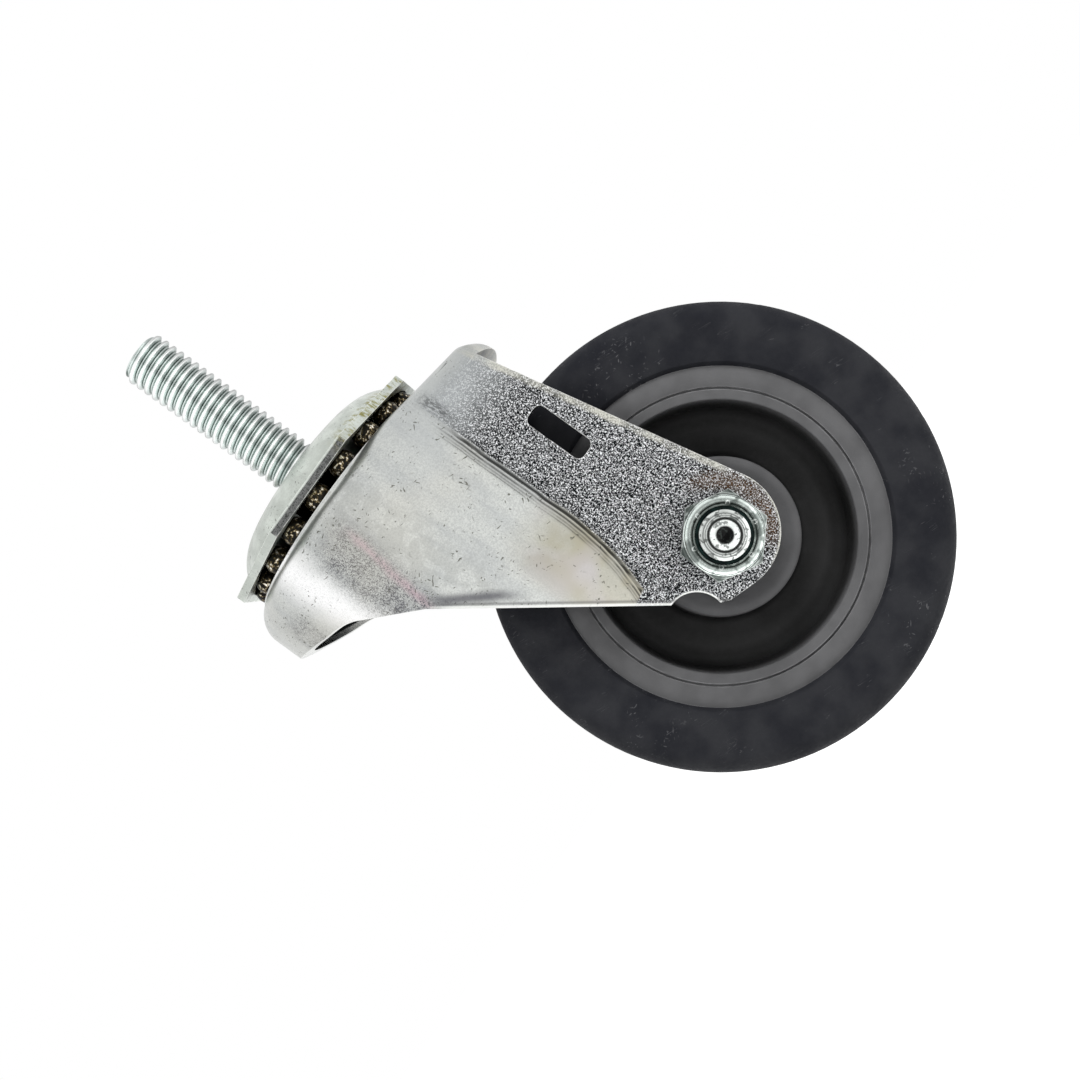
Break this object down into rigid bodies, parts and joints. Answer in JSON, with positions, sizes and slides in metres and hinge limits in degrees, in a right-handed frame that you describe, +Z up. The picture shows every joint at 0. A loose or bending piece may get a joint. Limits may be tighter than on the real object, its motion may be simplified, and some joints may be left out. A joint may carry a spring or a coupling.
{
  "type": "swivel stem caster",
  "caption": "Swivel stem caster: threaded stem, eight-sided dished cap on loose balls, pressed steel fork with offset legs, and a grey wheel with a soft tyre.",
  "frame": {"origin": "on the swivel axis, at the foot of the stem where it stands on the cap", "axes": "+Z up along the stem, +X from the swivel axis towards the axle, Y along the axle with the lock nut on -Y"},
  "size_m": [0.0953, 0.0573, 0.1355],
  "materials": {
    "plated_stem": "bright zinc plate over a rolled thread",
    "plated_sheet": "dull bright zinc plate, rolled grain",
    "plated_bolt": "bright zinc plate",
    "plated_nut": "bright zinc plate",
    "greased_ball": "polished steel under amber grease",
    "nylon": "dark moulded nylon",
    "hub_plastic": "moulded grey plastic, satin",
    "tyre": "matt grey polyurethane"
  },
  "bodies": {
    "cap_and_stem": {"threaded_stem": "plated_stem", "wrench_cap": "plated_sheet", "lower_race": "plated_sheet"},
    "upper_balls": {"upper_ball_01": "greased_ball", "upper_ball_02": "greased_ball", "upper_ball_03": "greased_ball", "upper_ball_04": "greased_ball", "upper_ball_05": "greased_ball", "upper_ball_06": "greased_ball", "upper_ball_07": "greased_ball", "upper_ball_08": "greased_ball", "upper_ball_09": "greased_ball", "upper_ball_10": "greased_ball", "upper_ball_11": "greased_ball", "upper_ball_12": "greased_ball", "upper_ball_13": "greased_ball", "upper_ball_14": "greased_ball", "upper_ball_15": "greased_ball", "upper_ball_16": "greased_ball", "upper_ball_17": "greased_ball", "upper_ball_18": "greased_ball"},
    "lower_balls": {"lower_ball_01": "greased_ball", "lower_ball_02": "greased_ball", "lower_ball_03": "greased_ball", "lower_ball_04": "greased_ball", "lower_ball_05": "greased_ball", "lower_ball_06": "greased_ball", "lower_ball_07": "greased_ball", "lower_ball_08": "greased_ball", "lower_ball_09": "greased_ball", "lower_ball_10": "greased_ball", "lower_ball_11": "greased_ball", "lower_ball_12": "greased_ball", "lower_ball_13": "greased_ball"},
    "fork_assembly": {"fork": "plated_sheet", "axle_bolt": "plated_bolt", "axle_sleeve": "plated_bolt", "lock_nut": "plated_nut", "nut_insert": "nylon"},
    "wheel": {"wheel_hub": "hub_plastic", "tyre": "tyre"}
  },
  "joints": [
    {"name": "swivel", "type": "hinge", "parent": "cap_and_stem", "child": "fork_assembly", "pos_m": [0, 0, 0], "axis": [0, 0, 1], "continuous": true},
    {"name": "upper_ball_travel", "type": "hinge", "parent": "cap_and_stem", "child": "upper_balls", "pos_m": [0, 0, -0.0082], "axis": [0, 0, 1], "continuous": true},
    {"name": "lower_ball_travel", "type": "hinge", "parent": "cap_and_stem", "child": "lower_balls", "pos_m": [0, 0, -0.0126], "axis": [0, 0, 1], "continuous": true},
    {"name": "wheel_spin", "type": "hinge", "parent": "fork_assembly", "child": "wheel", "pos_m": [0.03175, 0, -0.064], "axis": [0, 1, 0], "continuous": true}
  ],
  "couplings": [
    {"joint": "upper_ball_travel", "follows": "swivel", "ratio": 0.5},
    {"joint": "lower_ball_travel", "follows": "swivel", "ratio": 0.5}
  ]
}
